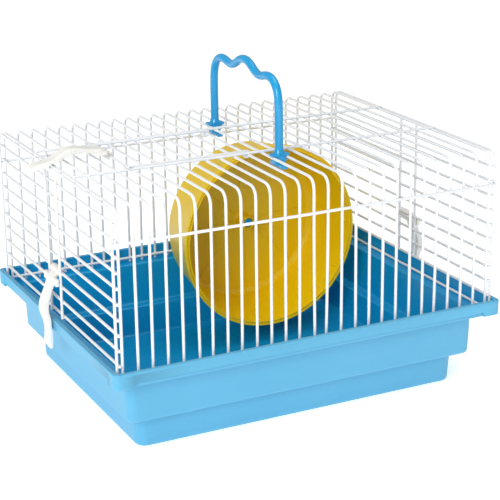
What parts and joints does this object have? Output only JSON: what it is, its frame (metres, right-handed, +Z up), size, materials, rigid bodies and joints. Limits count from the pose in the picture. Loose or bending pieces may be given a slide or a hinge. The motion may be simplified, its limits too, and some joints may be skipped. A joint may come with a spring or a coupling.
{
  "type": "hamster cage",
  "caption": "Small hamster cage: pale blue plastic tray, white wire top with a roof door and snap clips, blue carrying handle and yellow exercise wheel.",
  "frame": {"origin": "middle of the tray's flat underside, on the surface the cage stands on", "axes": "+X along the cage's length towards the wheel end, -Y the front, +Z up"},
  "size_m": [0.3269, 0.2494, 0.2469],
  "materials": {
    "tray_plastic": "satin moulded polypropylene, pale sky blue",
    "wire_coat": "white powder coat over steel wire",
    "clip_plastic": "translucent natural white plastic",
    "handle_plastic": "glossy blue plastic",
    "wheel_plastic": "satin yellow plastic"
  },
  "bodies": {
    "tray": {"tray": "tray_plastic"},
    "wire_top": {"hoop_00": "wire_coat", "hoop_01": "wire_coat", "hoop_02": "wire_coat", "hoop_03": "wire_coat", "hoop_04": "wire_coat", "hoop_05": "wire_coat", "hoop_06": "wire_coat", "hoop_07": "wire_coat", "hoop_08": "wire_coat", "hoop_09": "wire_coat", "hoop_10": "wire_coat", "hoop_11": "wire_coat", "hoop_12": "wire_coat", "hoop_13": "wire_coat", "hoop_14": "wire_coat", "hoop_15": "wire_coat", "hoop_16": "wire_coat", "hoop_17": "wire_coat", "hoop_18": "wire_coat", "hoop_19": "wire_coat", "hoop_20": "wire_coat", "hoop_21": "wire_coat", "hoop_22": "wire_coat", "hoop_23": "wire_coat", "hoop_24": "wire_coat", "hoop_25": "wire_coat", "hoop_26": "wire_coat", "roof_rail_front": "wire_coat", "roof_rail_back": "wire_coat", "side_rail_front": "wire_coat", "side_rail_back": "wire_coat", "base_rail_front": "wire_coat", "base_rail_back": "wire_coat", "end_frame_left": "wire_coat", "end_bars_left": "wire_coat", "end_uprights_left": "wire_coat", "end_frame_right": "wire_coat", "end_bars_right": "wire_coat", "end_uprights_right": "wire_coat", "handle": "handle_plastic", "axle": "handle_plastic"},
    "door": {"door_rail_front": "wire_coat", "door_rail_back": "wire_coat", "door_bars": "wire_coat", "door_end_wire": "wire_coat"},
    "latch": {"roof_latch": "clip_plastic"},
    "clip_left": {"side_clip_left": "clip_plastic"},
    "clip_right": {"side_clip_right": "clip_plastic"},
    "wheel": {"wheel": "wheel_plastic"}
  },
  "joints": [
    {"name": "wire_top_lift", "type": "slide", "parent": "tray", "child": "wire_top", "axis": [0, 0, 1], "range_m": [0, 0.13]},
    {"name": "roof_door_hinge", "type": "hinge", "parent": "wire_top", "child": "door", "pos_m": [-0.0112, 0, 0.182], "axis": [0, 1, 0], "range_deg": [0, 90]},
    {"name": "roof_latch_pivot", "type": "hinge", "parent": "door", "child": "latch", "pos_m": [-0.10618, 0, 0.18611], "axis": [0, 1, 0], "range_deg": [0, 80]},
    {"name": "clip_left_pivot", "type": "hinge", "parent": "wire_top", "child": "clip_left", "pos_m": [-0.14755, 0, 0.105], "axis": [0, 1, 0], "range_deg": [0, 80]},
    {"name": "clip_right_pivot", "type": "hinge", "parent": "wire_top", "child": "clip_right", "pos_m": [0.14755, 0, 0.105], "axis": [0, -1, 0], "range_deg": [0, 80]},
    {"name": "wheel_spin", "type": "hinge", "parent": "wire_top", "child": "wheel", "pos_m": [0.0448, 0.08, 0.0902], "axis": [0, 1, 0], "continuous": true}
  ]
}
